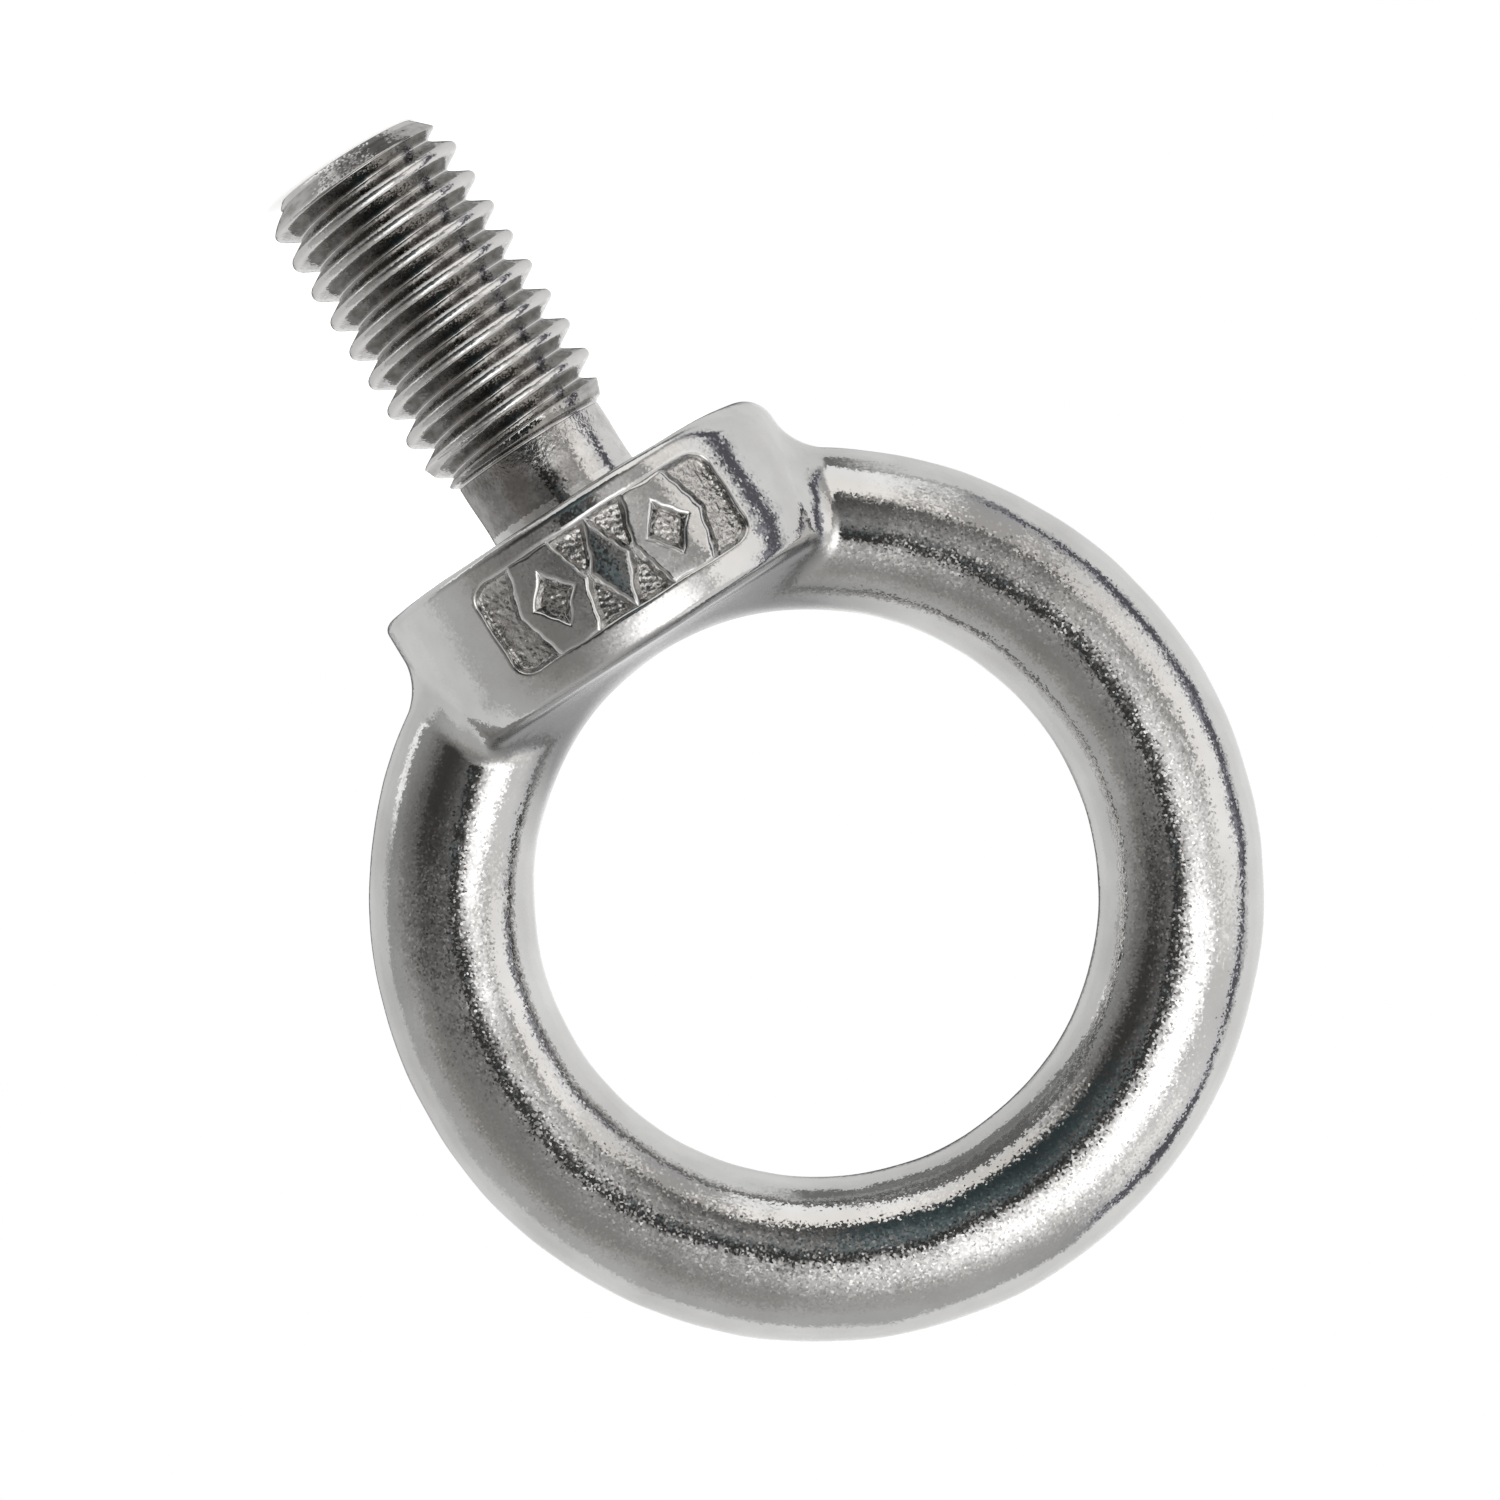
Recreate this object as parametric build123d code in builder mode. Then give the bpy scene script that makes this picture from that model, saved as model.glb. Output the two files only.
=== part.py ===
from build123d import *
from math import cos, radians, sin, tan
import os

os.makedirs("parts", exist_ok=True)

# Lifting eye bolt. Millimetres, +Z up through the eye.
# Origin: where the bolt's axis crosses the seat face under the collar.

# the eye
RING_MEAN_R = 16.5
WIRE_R = 3.75
RING_Z = 20.77
ARM_SPLIT_DEG = 48

# the round collar, with the slight draft of its die
COLLAR_T = 7.3
COLLAR_R_SEAT = 9.95
COLLAR_R_TOP = 10.1
SEAT_EDGE_R = 0.9
TOP_EDGE_R = 1.3
ARM_FILLET_R = 1.2

# trimmed crown between the arms, a shallow scoop along Y
SCOOP_R = 11.88
SCOOP_Z = 19.56

# sunk panel with its raised figures, on the front of the collar
PANEL_W = 12.0
PANEL_H = 4.5
PANEL_X = -0.3
PANEL_Z = 3.4
PANEL_CORNER_R = 0.9
PANEL_FLOOR_R = 9.6
FIGURE_HALF_W = 1.75
FIGURE_X = 2.95
FIGURE_WINDOW = 0.46
DIAMOND_HALF_W = 1.0

# plain relief between the seat and the thread
NECK_R = 3.69
NECK_STUB = 0.6
NECK_END = -3.3

# 3/8-16 UNC, right hand
PITCH = 25.4 / 16
CREST_R = 4.6
ROOT_R = 3.62
CREST_FLAT = PITCH / 8
SHANK_END = -18.65
POINT_R = 3.45
THREAD_PHASE_Z = -6.36
FLANK = tan(radians(30))


# fused forging blank: collar and ring together, rounded where they meet
with BuildPart() as blank:
    with BuildSketch(Plane.XZ):
        with BuildLine():
            Polyline(
                (0, 0),
                (COLLAR_R_SEAT, 0),
                (COLLAR_R_TOP, COLLAR_T),
                (0, COLLAR_T),
                close=True,
            )
        make_face()
    revolve(axis=Axis.Z)
    fillet(blank.edges().filter_by(GeomType.CIRCLE).group_by(Axis.Z)[0], SEAT_EDGE_R)
    fillet(blank.edges().filter_by(GeomType.CIRCLE).group_by(Axis.Z)[-1], TOP_EDGE_R)
    with BuildSketch(Plane.XY.offset(RING_Z)):
        with Locations((RING_MEAN_R, 0)):
            Circle(WIRE_R)
    revolve(axis=Axis((0, 0, RING_Z), (0, 1, 0)))
    fillet(blank.edges().filter_by(GeomType.BSPLINE), ARM_FILLET_R)

# tool that scoops the crown between the arms
with BuildPart() as scoop:
    with BuildSketch(Plane.XZ):
        with Locations((0, SCOOP_Z)):
            Circle(SCOOP_R)
    extrude(amount=8, both=True)

# wedge that keeps the collar and the roots of both arms
REACH = 40
with BuildPart() as wedge:
    with BuildSketch(Plane.XZ):
        with BuildLine():
            Polyline(
                (0, RING_Z),
                (REACH * sin(radians(ARM_SPLIT_DEG)), RING_Z - REACH * cos(radians(ARM_SPLIT_DEG))),
                (-REACH * sin(radians(ARM_SPLIT_DEG)), RING_Z - REACH * cos(radians(ARM_SPLIT_DEG))),
                close=True,
            )
        make_face()
    extrude(amount=15, both=True)

# everything in front of the panel's floor, inside the panel's outline
with BuildPart() as panel:
    with BuildSketch(Plane.XZ.offset(8)):
        with Locations((PANEL_X, PANEL_Z)):
            RectangleRounded(PANEL_W, PANEL_H, PANEL_CORNER_R)
    extrude(amount=4)
    with Locations((0, 0, PANEL_Z)):
        Cylinder(PANEL_FLOOR_R, 12, mode=Mode.SUBTRACT)


# collar: disc, arm roots, seat face and the first of the neck
with BuildPart() as collar:
    add(blank.part)
    add(scoop.part, mode=Mode.SUBTRACT)
    add(wedge.part, mode=Mode.INTERSECT)
    add(panel.part, mode=Mode.SUBTRACT)
    with BuildSketch(Plane.XZ):
        with BuildLine():
            Line((0, 1), (NECK_R, 1))
            Line((NECK_R, 1), (NECK_R, -NECK_STUB))
            Line((NECK_R, -NECK_STUB), (0, -NECK_STUB))
            Line((0, -NECK_STUB), (0, 1))
        make_face()
    revolve(axis=Axis.Z)

collar.part.label = "collar"
export_step(collar.part, "parts/collar.step")


# eye ring: round bar bent through the arc above the collar
RADIAL = (sin(radians(ARM_SPLIT_DEG)), 0, -cos(radians(ARM_SPLIT_DEG)))
ALONG = (cos(radians(ARM_SPLIT_DEG)), 0, sin(radians(ARM_SPLIT_DEG)))
with BuildPart() as eye_ring:
    with BuildSketch(Plane(origin=(0, 0, RING_Z), x_dir=RADIAL, z_dir=ALONG)):
        with Locations((RING_MEAN_R, 0)):
            Circle(WIRE_R)
    revolve(axis=Axis((0, 0, RING_Z), (0, -1, 0)), revolution_arc=360 - 2 * ARM_SPLIT_DEG)

eye_ring.part.label = "eye_ring"
export_step(eye_ring.part, "parts/eye_ring.step")


# raised figures that stand on the panel's floor, flush with the collar
HALF_H = PANEL_H / 2
with BuildPart() as size_figures:
    with BuildSketch(Plane.XZ.offset(8)):
        with Locations((PANEL_X - FIGURE_X, PANEL_Z), (PANEL_X + FIGURE_X, PANEL_Z)):
            Polygon(
                (FIGURE_HALF_W, 0),
                (FIGURE_HALF_W * 0.6, HALF_H),
                (-FIGURE_HALF_W * 0.6, HALF_H),
                (-FIGURE_HALF_W, 0),
                (-FIGURE_HALF_W * 0.6, -HALF_H),
                (FIGURE_HALF_W * 0.6, -HALF_H),
                align=None,
            )
            Polygon(
                (FIGURE_HALF_W * FIGURE_WINDOW, 0),
                (0, HALF_H * FIGURE_WINDOW),
                (-FIGURE_HALF_W * FIGURE_WINDOW, 0),
                (0, -HALF_H * FIGURE_WINDOW),
                align=None,
                mode=Mode.SUBTRACT,
            )
        with Locations((PANEL_X, PANEL_Z)):
            Polygon(
                (DIAMOND_HALF_W, 0),
                (0, HALF_H),
                (-DIAMOND_HALF_W, 0),
                (0, -HALF_H),
                align=None,
            )
    extrude(amount=4)
    with Locations((0, 0, PANEL_Z)):
        Cylinder(PANEL_FLOOR_R, 12, mode=Mode.SUBTRACT)
    add(blank.part, mode=Mode.INTERSECT)

size_figures.part.label = "size_figures"
export_step(size_figures.part, "parts/size_figures.step")


# neck: plain round relief down to the first of the thread
with BuildPart() as neck:
    with Locations((0, 0, -NECK_STUB)):
        Cylinder(NECK_R, -NECK_END - NECK_STUB, align=(Align.CENTER, Align.CENTER, Align.MAX))

neck.part.label = "neck"
export_step(neck.part, "parts/neck.step")


# threaded shank: core, helical ridge, then the trims at both ends
SINK = 0.1
THREAD_START = THREAD_PHASE_Z - 9 * PITCH
with BuildPart() as threaded_shank:
    with Locations((0, 0, 0)):
        Cylinder(ROOT_R, 22.5, align=(Align.CENTER, Align.CENTER, Align.MAX))
    with BuildLine() as thread_path:
        Helix(PITCH, 18, ROOT_R, center=(0, 0, THREAD_START))
    with BuildSketch(Plane(origin=(ROOT_R, 0, THREAD_START), x_dir=(1, 0, 0), z_dir=(0, -1, 0))):
        base = (PITCH - CREST_FLAT) / 2 + SINK * FLANK
        Polygon(
            (-SINK, -base),
            (CREST_R - ROOT_R, -CREST_FLAT / 2),
            (CREST_R - ROOT_R, CREST_FLAT / 2),
            (-SINK, base),
            align=None,
        )
    sweep(path=thread_path.line, is_frenet=True)
    # square end
    with Locations((0, 0, SHANK_END)):
        Box(14, 14, 8, align=(Align.CENTER, Align.CENTER, Align.MAX), mode=Mode.SUBTRACT)
    # top of the thread, where the neck takes over
    with Locations((0, 0, NECK_END)):
        Box(14, 14, 8, align=(Align.CENTER, Align.CENTER, Align.MIN), mode=Mode.SUBTRACT)

# turned chamfer on the point
with BuildPart() as point_tool:
    with BuildSketch(Plane.XZ):
        with BuildLine():
            Polyline(
                (POINT_R, SHANK_END),
                (5.6, SHANK_END + 5.6 - POINT_R),
                (6.5, SHANK_END + 5.6 - POINT_R),
                (6.5, SHANK_END - 3),
                (POINT_R, SHANK_END - 3),
                close=True,
            )
        make_face()
    revolve(axis=Axis.Z)

# the thread fades in from the neck
with BuildPart() as fade_tool:
    with BuildSketch(Plane.XZ):
        with BuildLine():
            Polyline((3.55, -2.9), (4.9, -5.5), (6.5, -5.5), (6.5, -2.4), (3.55, -2.4), close=True)
        make_face()
    revolve(axis=Axis.Z)

with threaded_shank:
    add(point_tool.part.rotate(Axis.Z, 33), mode=Mode.SUBTRACT)
    add(fade_tool.part.rotate(Axis.Z, 33), mode=Mode.SUBTRACT)

threaded_shank.part.label = "threaded_shank"
export_step(threaded_shank.part, "parts/threaded_shank.step")
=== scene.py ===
"""Looks for a polished stainless lifting eye bolt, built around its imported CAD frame."""

import math

import bpy
import numpy as np
from mathutils import Matrix, Vector


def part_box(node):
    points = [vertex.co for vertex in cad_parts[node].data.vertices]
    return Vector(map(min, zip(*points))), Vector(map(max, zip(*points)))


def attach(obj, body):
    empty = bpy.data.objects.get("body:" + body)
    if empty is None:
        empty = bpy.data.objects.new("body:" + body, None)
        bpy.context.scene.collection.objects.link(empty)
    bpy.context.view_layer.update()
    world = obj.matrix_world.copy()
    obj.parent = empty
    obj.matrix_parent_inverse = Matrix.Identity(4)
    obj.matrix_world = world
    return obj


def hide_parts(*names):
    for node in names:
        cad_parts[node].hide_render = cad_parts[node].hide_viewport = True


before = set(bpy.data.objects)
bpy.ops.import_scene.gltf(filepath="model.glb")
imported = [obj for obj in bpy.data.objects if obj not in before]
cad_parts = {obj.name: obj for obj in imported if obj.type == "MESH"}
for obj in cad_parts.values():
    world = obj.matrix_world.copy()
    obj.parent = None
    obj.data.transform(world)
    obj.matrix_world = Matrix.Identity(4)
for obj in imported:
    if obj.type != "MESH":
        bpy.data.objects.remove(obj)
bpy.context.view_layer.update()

# ---------------------------------------------------------------- sizes
# Shapes are worked out in millimetres and turned to metres when a mesh is made.
MM = 0.001


def node_box(name):
    """A CAD node's box as two numpy points in millimetres."""
    lo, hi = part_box(name)
    return np.array(lo) / MM, np.array(hi) / MM


ring_lo, ring_hi = node_box("eye_ring")
collar_lo, collar_hi = node_box("collar")
neck_lo, neck_hi = node_box("neck")
shank_lo, shank_hi = node_box("threaded_shank")

WIRE_R = round((ring_hi[1] - ring_lo[1]) / 2, 2)
RING_R = round((ring_hi[0] - ring_lo[0]) / 2, 2) - WIRE_R
RING_Z = round(ring_hi[2], 2) - RING_R - WIRE_R
ARM_SPLIT = math.radians(48)

COLLAR_T = 7.3
COLLAR_SEAT_R = 9.95
COLLAR_TOP_R = 10.1
SEAT_EDGE_R = (0.45, 1.4)
TOP_EDGE_R = 0.45
TOP_BEVEL = math.radians(25)
TOP_BEVEL_Z = 6.25
TOP_BEVEL_R = 0.45
ARM_FILLET_R = 1.2
BAR_LEAN = 0.06
SCOOP_R = 11.88
SCOOP_Z = 19.56

PANEL_HALF = (6.0, 2.25)
PANEL_X, PANEL_Z = -0.3, 3.4
PANEL_CORNER_R = 0.9
PANEL_FLOOR_R = 9.55
CAST_SLOPE = 0.6
FIGURE_X = 2.95
FIGURE_HALF_W = 1.75
DIAMOND_HALF_W = 1.0
WINDOW_SHARE = 0.46
FIGURES_HALF_SPAN = 4.85

NECK_R = round((neck_hi[0] - neck_lo[0]) / 2, 2)
NECK_ROOT_R = 0.15

PITCH = 25.4 / 16
CREST_R = 4.60
ROOT_R = 3.58
CREST_ARC_R = 0.3
ROOT_ARC_R = 0.2
POINT_R = 3.45
THREAD_PHASE_Z = -6.36
RUN_OUT_Z = (3.40, 3.50, 3.60, 3.80, 4.90, 5.20)
RUN_OUT_R = (3.66, 3.74, 3.98, 4.08, 4.50, 4.90)
TIP_Z = round(shank_lo[2], 2)

# how finely each piece is meshed
COLLAR_STEP = 0.135
FIGURES_STEP = 0.08
RING_ACROSS, RING_ALONG = 96, 340
NECK_AROUND, NECK_ROWS = 160, 60
THREAD_AROUND, THREAD_ROWS = 160, 420


# ---------------------------------------------------------------- fields
# A field is negative inside the metal, in millimetres.
def round_union(a, b, r):
    """Two solids joined with a hollow fillet of radius r."""
    u, v = np.maximum(r - a, 0), np.maximum(r - b, 0)
    return np.maximum(r, np.minimum(a, b)) - np.hypot(u, v)


def round_cut(a, b, r):
    """What two solids share, with its edge rounded to radius r."""
    return -round_union(-a, -b, r)


def waviness(x, y, z):
    """The slow unevenness that polishing by hand leaves."""
    return (
        0.024 * np.sin(0.62 * x + 0.35 * z + 1.1 * np.sin(0.41 * z)) * np.cos(0.55 * z - 0.2 * x + 0.7 * y)
        + 0.010 * np.sin(1.25 * x - 0.9 * z + 1.3) * np.sin(1.1 * z + 0.6 * y)
        + 0.004 * np.sin(2.3 * x + 1.9 * z + 0.5 * y) * np.sin(0.9 * x + 2.2)
    )


def cast_grain(x, y, z):
    """The lumpy skin that a mould leaves, where no wheel has reached."""
    lumps = np.sin(9.1 * x + 3.7 * z + 1.3 * np.sin(5.3 * z)) * np.sin(8.3 * z - 2.9 * x + 1.7 * np.sin(6.1 * x))
    fine = np.sin(17.3 * x - 6.1 * z + 2.1) * np.sin(19.7 * z + 7.7 * x)
    return 0.022 * lumps + 0.012 * fine


def panel_outline(x, z):
    """Signed distance to the sunk panel's rounded rectangle, across its face."""
    wobble = 0.05 * np.sin(1.9 * x + 0.6) + 0.04 * np.sin(3.1 * z + 1.0)
    dx = np.abs(x - PANEL_X) - (PANEL_HALF[0] - PANEL_CORNER_R)
    dz = np.abs(z - PANEL_Z) - (PANEL_HALF[1] - PANEL_CORNER_R)
    outside = np.hypot(np.maximum(dx, 0), np.maximum(dz, 0))
    return outside + np.minimum(np.maximum(dx, dz), 0) - PANEL_CORNER_R + wobble * 0.5


def collar_wall(x, y, z):
    """The collar's drafted wall, endless up and down."""
    draft = COLLAR_SEAT_R + (COLLAR_TOP_R - COLLAR_SEAT_R) * z / COLLAR_T
    return np.hypot(x, y) - draft


def collar_side(x, y, z):
    """The collar's wall with the soft bevel under its top edge."""
    wall = collar_wall(x, y, z)
    return round_cut(wall, wall * math.cos(TOP_BEVEL) + (z - TOP_BEVEL_Z) * math.sin(TOP_BEVEL), TOP_BEVEL_R)


def forging(x, y, z):
    """Ring, collar, their fillets, the sunk panel and the root of the neck."""
    out = np.hypot(x, z - RING_Z) - RING_R
    ring = np.hypot(out, y) - WIRE_R + BAR_LEAN * out * np.clip(-y / WIRE_R, 0, 1) ** 4
    worn = np.clip((-5 - x) / 4, 0, 1)
    seat_edge = SEAT_EDGE_R[0] + (SEAT_EDGE_R[1] - SEAT_EDGE_R[0]) * worn * worn * (3 - 2 * worn)
    disc = round_cut(round_cut(collar_side(x, y, z), -z, seat_edge), z - COLLAR_T, TOP_EDGE_R)
    body = round_union(ring, disc, ARM_FILLET_R)
    body = round_cut(body, SCOOP_R - np.hypot(x, z - SCOOP_Z), 0.4)
    body = body + waviness(x, y, z)
    floor = PANEL_FLOOR_R + cast_grain(x, y, z) - np.hypot(x, y)
    wall = panel_outline(x, z) - 0.06 - CAST_SLOPE * np.clip(collar_wall(x, y, z), -0.5, 0.1)
    sunk = round_cut(round_cut(wall, floor, 0.15), y, 0.05)
    body = round_cut(body, -sunk, 0.13)
    neck = round_cut(np.hypot(x, y) - NECK_R, z - 1.0, 0.05)
    return round_union(body, neck, NECK_ROOT_R)


def collar_field(x, y, z):
    """The part of the forging that the collar's node stands for."""
    reach = ARM_SPLIT + math.radians(0.6)
    arms = np.abs(x) * math.cos(reach) - (RING_Z - z) * math.sin(reach)
    stub_end = (neck_hi[2] - 0.1) - z
    return np.maximum(np.maximum(forging(x, y, z), arms), stub_end)


def polygon_distance(x, z, corners):
    """Signed distance to a convex polygon, its corners given anticlockwise."""
    d = np.full(np.shape(x), -1e9)
    for (ax, az), (bx, bz) in zip(corners, corners[1:] + corners[:1]):
        ex, ez = bx - ax, bz - az
        size = math.hypot(ex, ez)
        d = np.maximum(d, ((x - ax) * ez - (z - az) * ex) / size)
    return d


def hexagon(cx, half_w, half_h):
    """Corners of a hexagon at the panel's height."""
    k = 0.6 * half_w
    shape = [(half_w, 0), (k, half_h), (-k, half_h), (-half_w, 0), (-k, -half_h), (k, -half_h)]
    return [(cx + px, PANEL_Z + pz) for px, pz in shape]


def diamond(cx, half_w, half_h):
    """Corners of a diamond at the panel's height."""
    shape = [(half_w, 0), (0, half_h), (-half_w, 0), (0, -half_h)]
    return [(cx + px, PANEL_Z + pz) for px, pz in shape]


def figures_field(x, y, z):
    """Raised generic figures on the panel's floor: two windowed hexagons and a diamond."""
    high = PANEL_HALF[1]
    outline = np.full(np.shape(x), 1e9)
    for side in (-1, 1):
        cx = PANEL_X + side * FIGURE_X
        window = polygon_distance(x, z, diamond(cx, FIGURE_HALF_W * WINDOW_SHARE, high * WINDOW_SHARE)) - 0.1
        solid = polygon_distance(x, z, hexagon(cx, FIGURE_HALF_W, high + 0.1))
        outline = np.minimum(outline, round_cut(solid, -window, 0.1))
    middle = polygon_distance(x, z, diamond(PANEL_X, DIAMOND_HALF_W, high + 0.1))
    outline = np.minimum(outline, middle)
    wobble = 0.03 * np.sin(4.1 * x + 2.3 * z) + 0.02 * np.sin(7.7 * z - 3.1 * x)
    skin = collar_side(x, y, z) + 0.02 + waviness(x, y, z)
    foot = (PANEL_FLOOR_R - 0.12) - np.hypot(x, y)
    outline = outline + wobble + CAST_SLOPE * np.clip(skin, -0.5, 0.1) + 0.08
    outline = np.maximum(outline, np.abs(x - PANEL_X) - FIGURES_HALF_SPAN)
    return round_cut(round_cut(outline, skin, 0.12), foot, 0.08)


# ---------------------------------------------------------------- meshing
def gradient(field, p, h=0.004):
    """Direction of the field's rise at each point, by central differences."""
    g = np.empty_like(p)
    for axis in range(3):
        step = np.zeros(3)
        step[axis] = h
        a, b = p + step, p - step
        g[:, axis] = (field(a[:, 0], a[:, 1], a[:, 2]) - field(b[:, 0], b[:, 1], b[:, 2])) / (2 * h)
    return g


def settle(field, p, limit, rounds=4):
    """Moves points onto the field's surface and gives the surface's normals there."""
    for _ in range(rounds):
        g = gradient(field, p)
        f = field(p[:, 0], p[:, 1], p[:, 2])
        size = np.maximum((g * g).sum(1), 0.2)
        p = p - g * np.clip(f / size, -limit, limit)[:, None]
    g = gradient(field, p)
    return p, g / np.maximum(np.linalg.norm(g, axis=1, keepdims=True), 1e-9)


def surface_net(field, lo, hi, step):
    """A closed mesh of quads on the field's surface, with one point in each grid cell that it crosses."""
    axes = [np.arange(a, b + step, step) for a, b in zip(lo, hi)]
    value = np.stack([field(x, *np.meshgrid(axes[1], axes[2], indexing="ij")) for x in axes[0]])
    inside = value < 0
    corners = [(i, j, k) for i in (0, 1) for j in (0, 1) for k in (0, 1)]
    cells = tuple(n - 1 for n in value.shape)

    def corner(array, at):
        return array[at[0]:at[0] + cells[0], at[1]:at[1] + cells[1], at[2]:at[2] + cells[2]]

    count = sum(corner(inside, at).astype(np.int8) for at in corners)
    crossed = (count > 0) & (count < 8)
    where = np.argwhere(crossed)
    index = np.full(cells, -1, np.int64)
    index[crossed] = np.arange(len(where))
    total, hits = np.zeros((len(where), 3)), np.zeros(len(where))
    for axis in range(3):
        for start in corners:
            if start[axis]:
                continue
            end = tuple(c + (i == axis) for i, c in enumerate(start))
            a = value[tuple((where + start).T)]
            b = value[tuple((where + end).T)]
            cut = (a < 0) != (b < 0)
            t = a[cut] / (a[cut] - b[cut])
            point = (where[cut] + start).astype(float)
            point[:, axis] += t
            total[cut] += point
            hits[cut] += 1
    points = np.array(lo) + step * total / hits[:, None]
    quads = []
    for axis in range(3):
        b, c = (axis + 1) % 3, (axis + 2) % 3
        shift = [np.zeros(3, int) for _ in range(4)]
        shift[0][b] = shift[0][c] = shift[1][c] = shift[3][b] = -1
        first = [slice(None)] * 3
        second = [slice(None)] * 3
        first[axis], second[axis] = slice(0, -1), slice(1, None)
        for outward in (True, False):
            a, b_side = inside[tuple(first)], inside[tuple(second)]
            edge = a & ~b_side if outward else ~a & b_side
            at = np.argwhere(edge)
            at = at[(at[:, b] > 0) & (at[:, c] > 0) & (at[:, b] < cells[b]) & (at[:, c] < cells[c])]
            ring = [index[tuple((at + s).T)] for s in shift]
            quads.append(np.stack(ring if outward else ring[::-1], 1))
    return points, np.concatenate(quads)


def grid_faces(rows, columns, wrap):
    """Quads over a grid of points stored row by row. The columns join up when wrap is true."""
    i, j = np.meshgrid(np.arange(rows - 1), np.arange(columns if wrap else columns - 1), indexing="ij")
    k = (j + 1) % columns
    here, below = i * columns, (i + 1) * columns
    return np.stack([here + j, here + k, below + k, below + j], -1).reshape(-1, 4)


def make_piece(name, points, faces, normals, stands_for, extra=()):
    """A mesh object from millimetre points, quads, extra faces of any length and one normal for each point."""
    mesh = bpy.data.meshes.new(name)
    mesh.from_pydata((points * MM).tolist(), [], faces.tolist() + [list(f) for f in extra])
    mesh.update()
    mesh.polygons.foreach_set("use_smooth", np.ones(len(mesh.polygons), bool))
    if normals is not None:
        mesh.normals_split_custom_set_from_vertices(normals.tolist())
    piece = bpy.data.objects.new(name, mesh)
    bpy.context.scene.collection.objects.link(piece)
    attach(piece, "root")
    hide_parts(stands_for)
    return piece


# ---------------------------------------------------------------- materials
def new_material(name):
    """A node material with its tree and its shader."""
    material = bpy.data.materials.new(name)
    material.use_nodes = True
    tree = material.node_tree
    return material, tree, tree.nodes["Principled BSDF"]


def add_node(tree, kind, inputs=None, **settings):
    """A node with its settings, and its inputs linked or set."""
    node = tree.nodes.new(kind)
    for key, value in settings.items():
        setattr(node, key, value)
    for key, value in (inputs or {}).items():
        if isinstance(value, bpy.types.NodeSocket):
            tree.links.new(value, node.inputs[key])
        else:
            node.inputs[key].default_value = value
    return node


def mapped(tree, value, low, high, to_low, to_high):
    """A value carried from one range to another and held at its ends."""
    limits = {"From Min": low, "From Max": high, "To Min": to_low, "To Max": to_high}
    node = add_node(tree, "ShaderNodeMapRange", {"Value": value, **limits})
    return node.outputs["Result"]


def noise(tree, place, size_mm, detail=2.0, rough=0.5, stretch=(1, 1, 1)):
    """Noise whose lumps are about size_mm across."""
    spread = add_node(tree, "ShaderNodeMapping", {"Vector": place, "Scale": stretch})
    node = add_node(
        tree,
        "ShaderNodeTexNoise",
        {"Vector": spread.outputs["Vector"], "Scale": 1 / (size_mm * MM), "Detail": detail, "Roughness": rough},
    )
    return node.outputs["Fac"]


def bump(tree, height, distance_mm, under=None):
    """A normal bent by a height, over another normal if one is given."""
    node = add_node(tree, "ShaderNodeBump", {"Height": height, "Distance": distance_mm * MM, "Strength": 1.0})
    if under is not None:
        tree.links.new(under, node.inputs["Normal"])
    return node.outputs["Normal"]


def facets(tree, place, size_mm, tilt, flash, under):
    """Tilts the surface a little from grain to grain. Most grains by about tilt, a few by as much as flash."""
    cells = add_node(tree, "ShaderNodeTexVoronoi", {"Vector": place, "Scale": 1 / (size_mm * MM)}).outputs["Color"]
    way = add_node(tree, "ShaderNodeVectorMath", {0: cells, 1: (2, 2, 2), 2: (-1, -1, -1)}, operation="MULTIPLY_ADD")
    way = way.outputs["Vector"]
    square = add_node(tree, "ShaderNodeVectorMath", {0: way, 1: way}, operation="MULTIPLY").outputs["Vector"]
    flash = flash if isinstance(flash, bpy.types.NodeSocket) else (flash,) * 3
    share = add_node(
        tree, "ShaderNodeVectorMath", {0: square, 1: flash, 2: (tilt,) * 3}, operation="MULTIPLY_ADD"
    ).outputs["Vector"]
    lean = add_node(tree, "ShaderNodeVectorMath", {0: way, 1: share, 2: under}, operation="MULTIPLY_ADD")
    return add_node(
        tree, "ShaderNodeVectorMath", {0: lean.outputs["Vector"]}, operation="NORMALIZE"
    ).outputs["Vector"]


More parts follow.
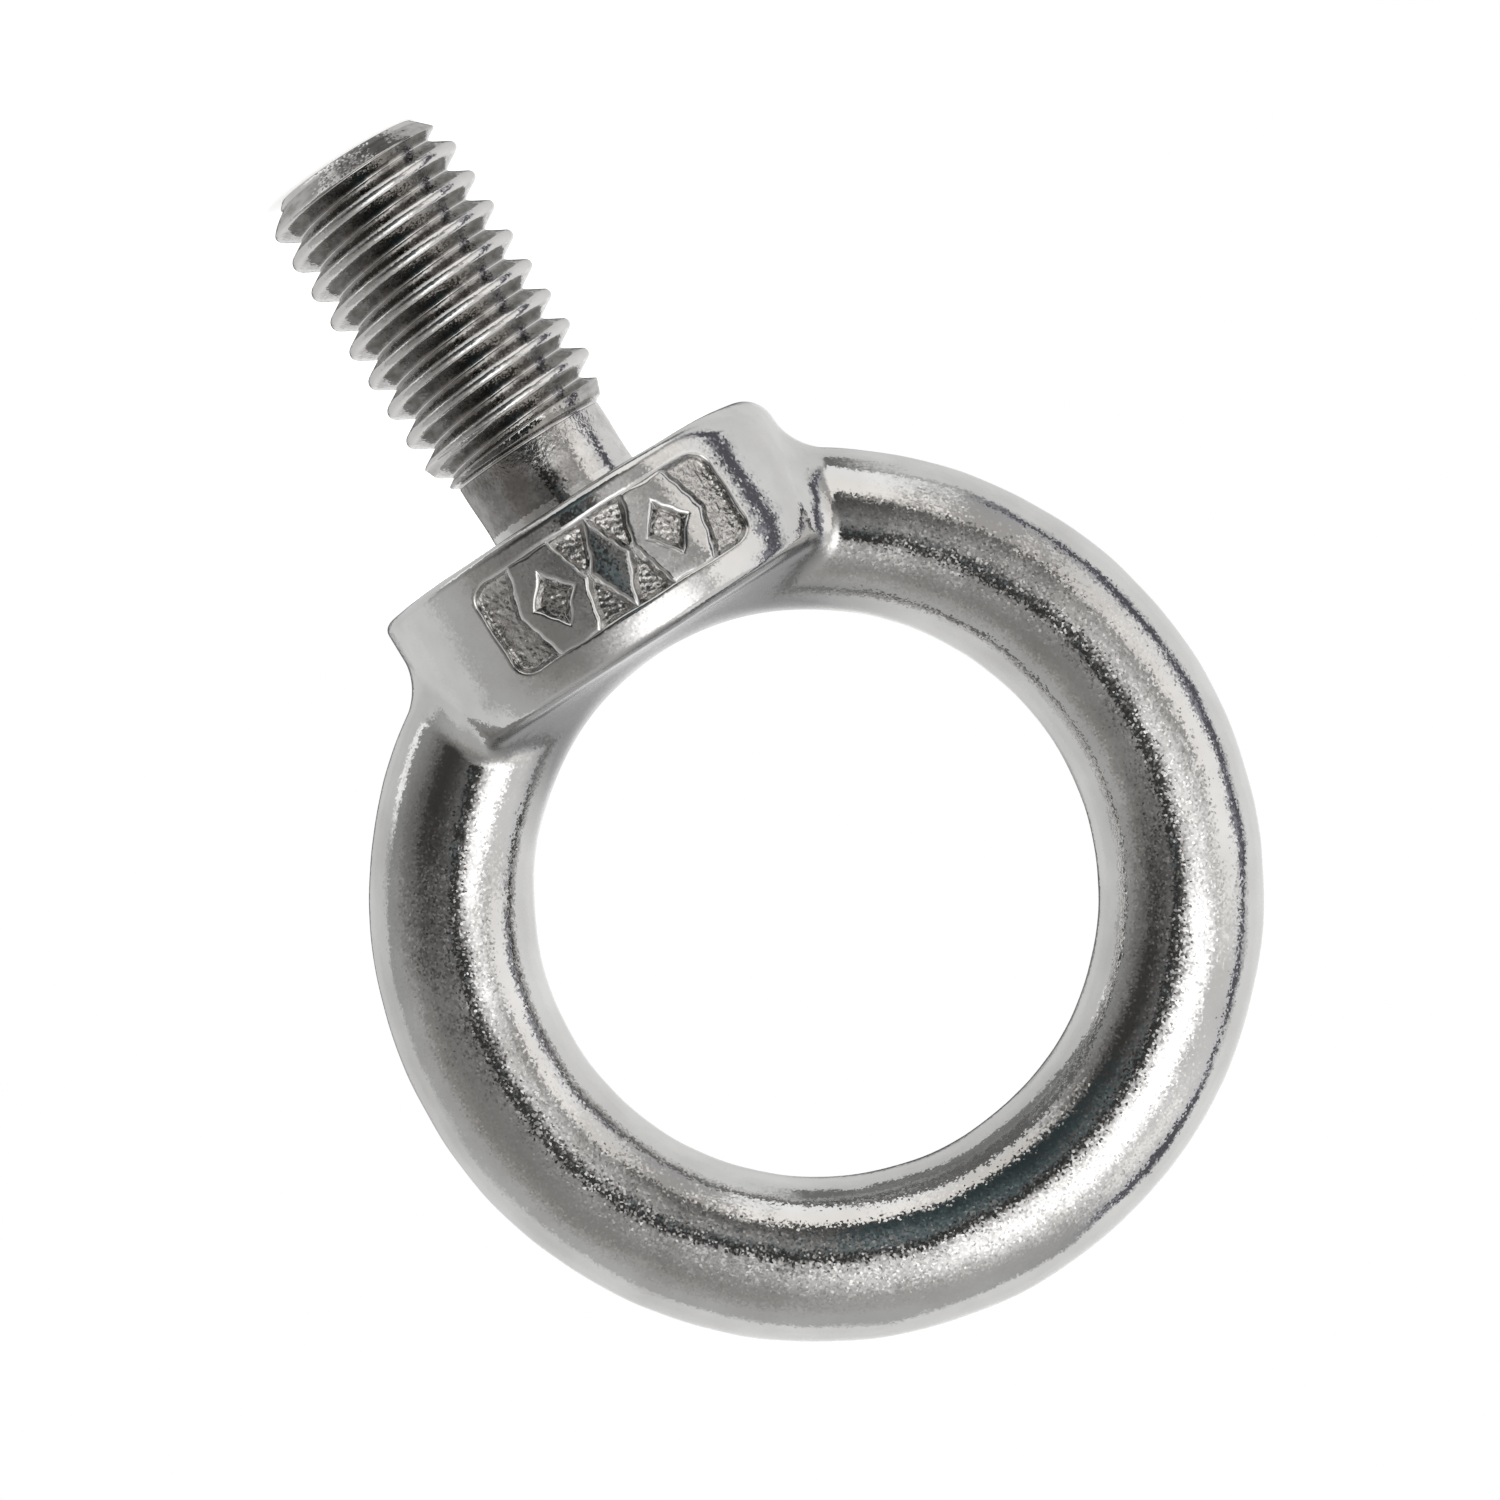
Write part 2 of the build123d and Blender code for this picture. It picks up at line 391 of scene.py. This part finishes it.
def polished_steel():
    """Steel tumbled bright, with a fine pebbled skin. The crown between the arms is rougher, and its base colour is
    darkened there as painted shade.
    """
    material, tree, shader = new_material("polished_cast_steel")
    place = add_node(tree, "ShaderNodeTexCoord").outputs["Object"]
    shader.inputs["Metallic"].default_value = 1.0
    shader.inputs["Specular Tint"].default_value = (0.8, 0.8, 0.8, 1)
    tint = add_node(tree, "ShaderNodeValToRGB", {"Fac": noise(tree, place, 3.0, detail=3)})
    tint.color_ramp.elements[0].position = 0.35
    tint.color_ramp.elements[0].color = (0.615, 0.61, 0.60, 1)
    tint.color_ramp.elements[1].position = 0.65
    tint.color_ramp.elements[1].color = (0.70, 0.697, 0.69, 1)
    parts = add_node(tree, "ShaderNodeSeparateXYZ", {"Vector": place}).outputs
    height = parts["Z"]
    # Painted shade: the upward-facing crown between the arms, about 7 to 12.5 mm up, gets a base colour darkened
    # towards 0.30. It is also made rougher.
    facing = add_node(tree, "ShaderNodeNewGeometry").outputs["Normal"]
    upward = add_node(tree, "ShaderNodeSeparateXYZ", {"Vector": facing}).outputs["Z"]
    low = mapped(tree, height, 0.0095, 0.0125, 1.0, 0.0)
    above = mapped(tree, height, 0.0069, 0.0072, 0.0, 1.0)
    crown = add_node(tree, "ShaderNodeMath", {0: low, 1: above}, operation="MULTIPLY").outputs["Value"]
    flat = mapped(tree, upward, 0.45, 0.75, 0.0, 1.0)
    crown = add_node(tree, "ShaderNodeMath", {0: crown, 1: flat}, operation="MULTIPLY").outputs["Value"]
    # The crown's base colour is mixed to dark grey as painted shade.
    crown_shade_mix = add_node(tree, "ShaderNodeMix", {"Factor": crown}, data_type="RGBA")
    tree.links.new(tint.outputs["Color"], crown_shade_mix.inputs[6])
    crown_shade_mix.inputs[7].default_value = (0.30, 0.30, 0.30, 1)
    tree.links.new(crown_shade_mix.outputs[2], shader.inputs["Base Color"])
    gloss = mapped(tree, noise(tree, place, 1.2, detail=4), 0.3, 0.7, 0.05, 0.10)
    rough = add_node(tree, "ShaderNodeMath", {0: crown, 1: 0.2, 2: gloss}, operation="MULTIPLY_ADD").outputs["Value"]
    tree.links.new(rough, shader.inputs["Roughness"])
    orange_peel = bump(tree, noise(tree, place, 0.8, detail=1), 0.009)
    depth = add_node(tree, "ShaderNodeMath", {0: parts["Y"]}, operation="ABSOLUTE").outputs["Value"]
    front = mapped(tree, depth, 0.0024, 0.0033, 0.0, 0.055)
    on_ring = mapped(tree, height, 0.007, 0.010, 0.0, 1.0)
    grain = add_node(tree, "ShaderNodeMath", {0: front, 1: on_ring, 2: 0.035}, operation="MULTIPLY_ADD").outputs["Value"]
    tree.links.new(facets(tree, place, 0.1, 0.008, grain, orange_peel), shader.inputs["Normal"])
    return material


def mould_skin():
    """The unpolished floor of the sunk panel."""
    material, tree, shader = new_material("mould_skin_steel")
    place = add_node(tree, "ShaderNodeTexCoord").outputs["Object"]
    shader.inputs["Metallic"].default_value = 1.0
    shader.inputs["Specular Tint"].default_value = (0.8, 0.8, 0.8, 1)
    tint = add_node(tree, "ShaderNodeValToRGB", {"Fac": noise(tree, place, 0.5, detail=4)})
    tint.color_ramp.elements[0].position = 0.3
    tint.color_ramp.elements[0].color = (0.46, 0.445, 0.43, 1)
    tint.color_ramp.elements[1].position = 0.7
    tint.color_ramp.elements[1].color = (0.62, 0.61, 0.59, 1)
    tree.links.new(tint.outputs["Color"], shader.inputs["Base Color"])
    shader.inputs["Roughness"].default_value = 0.22
    skin = bump(tree, noise(tree, place, 0.32, detail=2, rough=0.6), 0.065)
    tree.links.new(facets(tree, place, 0.14, 0.05, 0.12, skin), shader.inputs["Normal"])
    return material


def neck_steel():
    """The neck: polished, mottled dark at random and darkened towards its +X side as painted shade, and pitted at its
    foot.
    """
    material, tree, shader = new_material("neck_steel")
    place = add_node(tree, "ShaderNodeTexCoord").outputs["Object"]
    parts = add_node(tree, "ShaderNodeSeparateXYZ", {"Vector": place}).outputs
    shader.inputs["Metallic"].default_value = 1.0
    shader.inputs["Specular Tint"].default_value = (0.8, 0.8, 0.8, 1)
    dirt = mapped(tree, noise(tree, place, 1.1, detail=4, rough=0.6), 0.3, 0.7, -0.25, 0.25)
    # Painted shade: the base colour darkens from x = -1.6 mm to x = 0.4 mm, leaving the +X side of the neck dark. The
    # noise adds random mottle.
    side = mapped(tree, parts["X"], -0.0016, 0.0004, 0.9, 0.3)
    side_shade_and_mottle = add_node(tree, "ShaderNodeMath", {0: side, 1: dirt}, operation="ADD").outputs["Value"]
    tint = add_node(tree, "ShaderNodeValToRGB", {"Fac": side_shade_and_mottle})
    tint.color_ramp.elements[0].color = (0.17, 0.16, 0.15, 1)
    tint.color_ramp.elements[1].color = (0.66, 0.65, 0.64, 1)
    tree.links.new(tint.outputs["Color"], shader.inputs["Base Color"])
    shader.inputs["Roughness"].default_value = 0.05
    foot = mapped(tree, parts["Z"], -0.0027, -0.0018, 1.0, 0.0)
    pits = add_node(tree, "ShaderNodeMath", {0: foot, 1: noise(tree, place, 0.22, detail=2)}, operation="MULTIPLY")
    shallow = bump(tree, noise(tree, place, 0.5, detail=2), 0.006)
    pitted = bump(tree, pits.outputs["Value"], 0.05, shallow)
    tree.links.new(facets(tree, place, 0.1, 0.008, 0.06, pitted), shader.inputs["Normal"])
    return material


def rolled_steel():
    """The thread: bright metal, streaked where the dies rolled it. Its base colour is darkened as painted shade on the
    flanks. It is brightened on crests and roots as a painted highlight, which on the crests also stands for rubbed
    wear.
    """
    material, tree, shader = new_material("rolled_steel")
    place = add_node(tree, "ShaderNodeTexCoord").outputs["Object"]
    shader.inputs["Metallic"].default_value = 1.0
    shader.inputs["Specular Tint"].default_value = (0.7, 0.7, 0.7, 1)
    # The dark base colour is partly painted shade on the flanks between the ridges. Its streaky variation is random
    # tone.
    tint = add_node(tree, "ShaderNodeValToRGB", {"Fac": noise(tree, place, 0.9, detail=4, stretch=(1, 1, 3))})
    tint.color_ramp.elements[0].position = 0.35
    tint.color_ramp.elements[0].color = (0.33, 0.32, 0.305, 1)
    tint.color_ramp.elements[1].position = 0.65
    tint.color_ramp.elements[1].color = (0.52, 0.51, 0.50, 1)
    # Painted highlight: crests and roots get a brighter base colour, standing for the glint on their roundings. On the
    # crests it also stands for rubbed wear.
    across = add_node(tree, "ShaderNodeVectorMath", {0: place, 1: (1, 1, 0)}, operation="MULTIPLY").outputs["Vector"]
    radius = add_node(tree, "ShaderNodeVectorMath", {0: across}, operation="LENGTH").outputs["Value"]
    crest = mapped(tree, radius, 0.00432, 0.00452, 0.0, 0.8)
    root = mapped(tree, radius, 0.00375, 0.00366, 0.0, 0.8)
    glint_and_rub = add_node(tree, "ShaderNodeMath", {0: crest, 1: root}, operation="MAXIMUM").outputs["Value"]
    worn = add_node(tree, "ShaderNodeMix", {"Factor": glint_and_rub}, data_type="RGBA")
    tree.links.new(tint.outputs["Color"], worn.inputs[6])
    worn.inputs[7].default_value = (0.74, 0.73, 0.72, 1)
    tree.links.new(worn.outputs[2], shader.inputs["Base Color"])
    tree.links.new(mapped(tree, noise(tree, place, 0.6, detail=4), 0.3, 0.7, 0.02, 0.08), shader.inputs["Roughness"])
    streaks = bump(tree, noise(tree, place, 1.2, detail=2, stretch=(1, 1, 6)), 0.008)
    tree.links.new(facets(tree, place, 0.1, 0.01, 0.07, streaks), shader.inputs["Normal"])
    return material


# ---------------------------------------------------------------- pieces
def build_collar(polished, skin):
    """Collar, crown and arm roots. The panel's floor takes the rougher skin."""
    lo = collar_lo - (0.3, 0.36, 0.2)
    hi = collar_hi + (0.3, 0.3, 0.5)
    points, quads = surface_net(collar_field, lo, hi, COLLAR_STEP)
    points, normals = settle(collar_field, points, 0.05)
    piece = make_piece("collar_body", points, quads, normals, "collar")
    piece.data.materials.append(polished)
    piece.data.materials.append(skin)
    middle = points[quads].mean(1)
    on_floor = (
        (panel_outline(middle[:, 0], middle[:, 2]) < -0.08)
        & (np.hypot(middle[:, 0], middle[:, 1]) < PANEL_FLOOR_R + 0.12)
        & (middle[:, 1] < 0)
        & (middle[:, 2] > 0.5)
        & (middle[:, 2] < 6.5)
        & (np.hypot(middle[:, 0], middle[:, 1]) > PANEL_FLOOR_R - 0.3)
    )
    piece.data.polygons.foreach_set("material_index", on_floor.astype(np.int32))
    return piece


def build_ring(polished):
    """The bar's arc above the collar. Its ends run a little way into the collar's arms."""
    across, along = RING_ACROSS, RING_ALONG
    lap = math.radians(0.4)
    turn = np.linspace(-math.pi / 2 + ARM_SPLIT - lap, 1.5 * math.pi - ARM_SPLIT + lap, along)
    spin = np.linspace(0, 2 * math.pi, across, endpoint=False)
    turn, spin = np.meshgrid(turn, spin, indexing="ij")
    reach = RING_R + WIRE_R * np.cos(spin)
    points = np.stack([reach * np.cos(turn), -WIRE_R * np.sin(spin), RING_Z + reach * np.sin(turn)], -1)
    points = points.reshape(-1, 3)
    points, normals = settle(forging, points, 0.05, rounds=2)
    faces = grid_faces(along, across, wrap=True)[:, ::-1]
    last = (along - 1) * across
    ends = [list(range(across)), list(range(last, last + across))[::-1]]
    piece = make_piece("eye_ring_bar", points, faces, normals, "eye_ring", ends)
    piece.data.materials.append(polished)
    return piece


def build_figures(polished):
    """The raised figures, with their feet sunk in the panel's floor."""
    lo = np.array([PANEL_X - 5.4, -10.4, PANEL_Z - 2.9])
    hi = np.array([PANEL_X + 5.4, -7.4, PANEL_Z + 2.9])
    points, quads = surface_net(figures_field, lo, hi, FIGURES_STEP)
    points, normals = settle(figures_field, points, 0.03)
    piece = make_piece("raised_figures", points, quads, normals, "size_figures")
    piece.data.materials.append(polished)
    return piece


def revolved(profile, around):
    """Points of a profile of (radius, z) pairs turned about Z."""
    angle = np.linspace(0, 2 * math.pi, around, endpoint=False)
    r, z = profile[:, 0][:, None], profile[:, 1][:, None]
    return np.stack([r * np.cos(angle), r * np.sin(angle), z + 0 * angle], -1).reshape(-1, 3)


def build_neck(mottled):
    """The plain neck, with faint rings from turning."""
    around = NECK_AROUND
    top, bottom = -0.3, neck_lo[2]
    z = np.linspace(top, bottom - 0.05, NECK_ROWS)
    feed = 0.015 * np.sin(z * 1.9 + 0.7)
    profile = np.stack([NECK_R - 0.004 + feed * np.clip((top - z) / 0.6, 0, 1), z], 1)
    points = revolved(profile, around)
    faces = grid_faces(len(profile), around, wrap=True)[:, ::-1]
    last = (len(profile) - 1) * around
    ends = [list(range(around)), list(range(last, last + around))[::-1]]
    piece = make_piece("neck_relief", points, faces, None, "neck", ends)
    piece.data.materials.append(mottled)
    return piece


def soft_min(a, b, soft):
    """The lesser of two values, blended over soft."""
    return -soft * np.logaddexp(-a / soft, -b / soft)


def soft_max(a, b, soft):
    """The greater of two values, blended over soft."""
    return soft * np.logaddexp(a / soft, b / soft)


def thread_radius(angle, z):
    """Radius of the rolled thread: rounded crests and roots, fading in at the neck and chamfered at the point."""
    crest_z = THREAD_PHASE_Z + PITCH * angle / (2 * math.pi)
    off = np.abs((z - crest_z + PITCH / 2) % PITCH - PITCH / 2)
    flank = CREST_R + CREST_ARC_R - off * math.sqrt(3)
    crest = CREST_R - CREST_ARC_R + np.sqrt(np.maximum(CREST_ARC_R**2 - off**2, 0))
    ridge = np.where(off < CREST_ARC_R * math.sqrt(0.75), crest, flank)
    ridge = soft_max(ridge, ROOT_R + 0 * flank, ROOT_ARC_R / 2)
    ridge = soft_min(ridge, np.interp(-z, RUN_OUT_Z, RUN_OUT_R), 0.02)
    return soft_min(ridge, POINT_R + (z - TIP_Z), 0.06)


def build_thread(rolled):
    """The threaded shank down to its chamfered point."""
    around = THREAD_AROUND
    top = shank_hi[2]
    z = np.linspace(top, TIP_Z, THREAD_ROWS)
    angle = np.linspace(0, 2 * math.pi, around, endpoint=False)
    zz, aa = np.meshgrid(z, angle, indexing="ij")
    radius = thread_radius(aa, zz)
    points = np.stack([radius * np.cos(aa), radius * np.sin(aa), zz], -1).reshape(-1, 3)
    faces = grid_faces(len(z), around, wrap=True)[:, ::-1]
    last = (len(z) - 1) * around
    extra = [list(range(around)), list(range(last, last + around))[::-1]]
    piece = make_piece("rolled_thread", points, faces, None, "threaded_shank", extra)
    piece.data.materials.append(rolled)
    return piece


# ---------------------------------------------------------------- light
# Directions in the room are told by two angles: away, in degrees from the photographer at -Y, and turn, in degrees
# round that line, from +X towards +Z. Brightness is what polished steel shows of it.
STEEL = 0.66


class Sky:
    """Builds the room's brightness as soft-edged patches, in the world's nodes."""

    def __init__(self, tree):
        self.tree = tree
        self.way = add_node(tree, "ShaderNodeTexCoord").outputs["Generated"]
        split = add_node(tree, "ShaderNodeSeparateXYZ", {"Vector": self.way})
        x, y, z = split.outputs["X"], split.outputs["Y"], split.outputs["Z"]
        uneven = add_node(tree, "ShaderNodeTexNoise", {"Vector": self.way, "Scale": 5.0, "Detail": 2.0}).outputs["Fac"]
        away = self.degrees(self.math("ARCCOSINE", self.times(y, -1.0)))
        self.away = self.add(away, self.ramp(uneven, 0.0, 1.0, -9.0, 9.0))
        self.turn = self.math("ARCTAN2", z, x)

    def math(self, operation, a, b=0.0):
        return add_node(self.tree, "ShaderNodeMath", {0: a, 1: b}, operation=operation).outputs["Value"]

    def add(self, a, b):
        return self.math("ADD", a, b)

    def times(self, a, b):
        return self.math("MULTIPLY", a, b)

    def degrees(self, value):
        return self.times(value, 180 / math.pi)

    def ramp(self, value, start, end, low=0.0, high=1.0):
        """Goes smoothly from low to high as value goes from start to end."""
        node = add_node(
            self.tree,
            "ShaderNodeMapRange",
            {"Value": value, "From Min": start, "From Max": end, "To Min": low, "To Max": high},
            interpolation_type="SMOOTHSTEP",
        )
        return node.outputs["Result"]

    def facing(self, turn):
        """1 towards a turn angle, -1 opposite it."""
        return self.math("COSINE", self.math("SUBTRACT", self.turn, math.radians(turn)))

    def around(self, turn, half, soft):
        """1 within half degrees either side of a turn angle, fading out over soft degrees."""
        gap = self.degrees(self.math("ARCCOSINE", self.times(self.facing(turn), 0.999999)))
        return self.ramp(gap, half, half + soft, 1.0, 0.0)

    def glow(self, away, turn, width, strength):
        """A round soft light in one direction."""
        a, t = math.radians(away), math.radians(turn)
        to = (math.sin(a) * math.cos(t), -math.cos(a), math.sin(a) * math.sin(t))
        dot = add_node(self.tree, "ShaderNodeVectorMath", {0: self.way, 1: to}, operation="DOT_PRODUCT").outputs["Value"]
        gap = self.times(self.degrees(self.math("ARCCOSINE", self.times(dot, 0.999999))), 1 / width)
        return self.times(self.math("POWER", math.e, self.times(self.times(gap, gap), -1.0)), strength)

    def patch(self, turn, half, soft, near, far, edge):
        """1 inside a stretch of turn and away angles, with soft edges."""
        inner = self.ramp(self.away, near - edge, near)
        outer = self.ramp(self.away, far, far + edge, 1.0, 0.0)
        return self.times(self.around(turn, half, soft), self.times(inner, outer))

    def mix(self, kind, under, over, share):
        node = add_node(self.tree, "ShaderNodeMix", {"Factor": share}, data_type=kind)
        first, output = {"FLOAT": (2, 0), "RGBA": (6, 2)}[kind]
        for key, value in ((first, under), (first + 1, over)):
            if isinstance(value, bpy.types.NodeSocket):
                self.tree.links.new(value, node.inputs[key])
            else:
                node.inputs[key].default_value = value
        return node.outputs[output]

    def blend(self, under, over, share):
        return self.mix("FLOAT", under, over, share)

    def tinted(self, under, over, share):
        return self.mix("RGBA", under, over, share)


def room_level(sky):
    """How bright the room is in each direction, as the steel shows it."""
    # a dim room, its walls rising to grey low down, more so on the right
    level = sky.ramp(sky.away, 40, 88, 0.03, 0.22)
    level = sky.add(level, sky.times(sky.around(36, 36, 44), sky.ramp(sky.away, 0, 36, 0.01, 0.13)))

    # the big window, its glow, and light on the left wall
    level = sky.add(level, sky.glow(35, 115, 21, 1.05))
    level = sky.add(level, sky.glow(32, 112, 31, 0.34))
    level = sky.add(level, sky.glow(30, 176, 24, 0.24))

    # light walls and a second window, low in the room
    level = sky.blend(level, 0.31, sky.patch(-150, 16, 8, 50, 96, 6))
    level = sky.blend(level, 0.57, sky.patch(186, 12, 8, 52, 76, 8))
    level = sky.blend(level, 0.52, sky.patch(120, 12, 18, 56, 86, 8))
    level = sky.add(level, sky.glow(68, 109, 8, 0.30))
    level = sky.blend(level, 0.74, sky.patch(163, 14, 16, 57, 79, 7))
    level = sky.blend(level, 0.56, sky.patch(-95, 12, 16, 54, 90, 4))
    level = sky.blend(level, 0.74, sky.patch(-121, 12, 12, 54, 94, 3))

    # somebody standing straight in front
    level = sky.times(level, sky.ramp(sky.away, 4, 16, 0.12, 1.0))

    # the table's far edge, then the white table behind the bolt
    table = sky.add(sky.ramp(sky.facing(120), -1, 1, 0.47, 0.62), sky.ramp(sky.away, 112, 150, 0.0, 0.10))
    level = sky.blend(level, table, sky.ramp(sky.away, 95, 105))
    level = sky.blend(level, 0.08, sky.patch(155, 52, 10, 88, 95, 3))
    level = sky.blend(level, 0.14, sky.patch(-102, 22, 12, 98, 114, 4))
    level = sky.blend(level, 0.82, sky.patch(-62, 16, 8, 95, 101, 3))

    # the far side of the room: dark low down, a pale wall high up
    level = sky.blend(level, 0.08, sky.times(sky.around(-62, 50, 34), sky.ramp(sky.away, 152, 167)))
    level = sky.add(level, sky.glow(166, 90, 15, 0.35))
    return level


def room_tint(sky):
    """The colour of the light from each direction."""
    warm, neutral = (1.03, 0.995, 0.96, 1), (1.0, 1.0, 1.0, 1)
    teal, violet = (0.72, 1.0, 1.06, 1), (0.96, 0.94, 1.1, 1)
    tint = sky.tinted(warm, teal, sky.patch(-93, 20, 14, 8, 46, 6))
    tint = sky.tinted(tint, neutral, sky.ramp(sky.away, 60, 84))
    tint = sky.tinted(tint, violet, sky.patch(155, 52, 10, 86, 96, 3))
    return sky.tinted(tint, neutral, sky.glow(34, 115, 40, 1.0))


def light_the_room():
    """The bolt reflects the room, and the camera sees white behind it."""
    world = bpy.data.worlds.new("soft_studio")
    bpy.context.scene.world = world
    world.use_nodes = True
    tree = world.node_tree
    tree.nodes.clear()
    sky = Sky(tree)
    strength = sky.times(room_level(sky), 1 / STEEL)
    lit = add_node(tree, "ShaderNodeBackground", {"Color": room_tint(sky), "Strength": strength})
    seen = add_node(tree, "ShaderNodeBackground", {"Color": (1, 1, 1, 1), "Strength": 1.0})
    camera_ray = add_node(tree, "ShaderNodeLightPath").outputs["Is Camera Ray"]
    mix = add_node(tree, "ShaderNodeMixShader", {0: camera_ray, 1: lit.outputs[0], 2: seen.outputs[0]})
    add_node(tree, "ShaderNodeOutputWorld", {"Surface": mix.outputs[0]})


def lay_floor():
    """A pale table top that the bolt stands on. It is bright enough to read as paper white."""
    half = 0.4
    mesh = bpy.data.meshes.new("floor")
    z = TIP_Z * MM - 0.00002
    mesh.from_pydata([(-half, -half, z), (half, -half, z), (half, half, z), (-half, half, z)], [], [(0, 1, 2, 3)])
    floor = bpy.data.objects.new("floor", mesh)
    bpy.context.scene.collection.objects.link(floor)
    material, _, shader = new_material("pale_floor")
    shader.inputs["Base Color"].default_value = (0.85, 0.85, 0.84, 1)
    shader.inputs["Roughness"].default_value = 0.9
    shader.inputs["Emission Color"].default_value = (1, 1, 1, 1)
    shader.inputs["Emission Strength"].default_value = 0.62
    mesh.materials.append(material)
    floor.visible_glossy = False
    return floor


# ---------------------------------------------------------------- camera
CAMERA_PLACE = Vector((-0.0010, -0.3011, 0.0136))
CAMERA_ROLL = math.radians(147.32)
SENSOR_MM = 36.0
LENS_MM = 159.672


def place_camera():
    """Looks along +Y from in front of the panel, rolled so that the shank points up and to the left."""
    data = bpy.data.cameras.new("camera")
    data.sensor_width = SENSOR_MM
    data.lens = LENS_MM
    data.clip_start = 0.01
    data.clip_end = 10
    camera = bpy.data.objects.new("camera", data)
    bpy.context.scene.collection.objects.link(camera)
    c, s = math.cos(CAMERA_ROLL), math.sin(CAMERA_ROLL)
    right, up, back = Vector((c, 0, s)), Vector((-s, 0, c)), Vector((0, -1, 0))
    camera.matrix_world = Matrix.Translation(CAMERA_PLACE) @ Matrix((right, up, back)).transposed().to_4x4()
    bpy.context.scene.camera = camera


polished = polished_steel()
skin = mould_skin()
rolled = rolled_steel()
build_ring(polished)
build_collar(polished, skin)
build_figures(polished)
build_neck(neck_steel())
build_thread(rolled)
light_the_room()
lay_floor()
place_camera()
bpy.context.scene.view_settings.view_transform = "Standard"
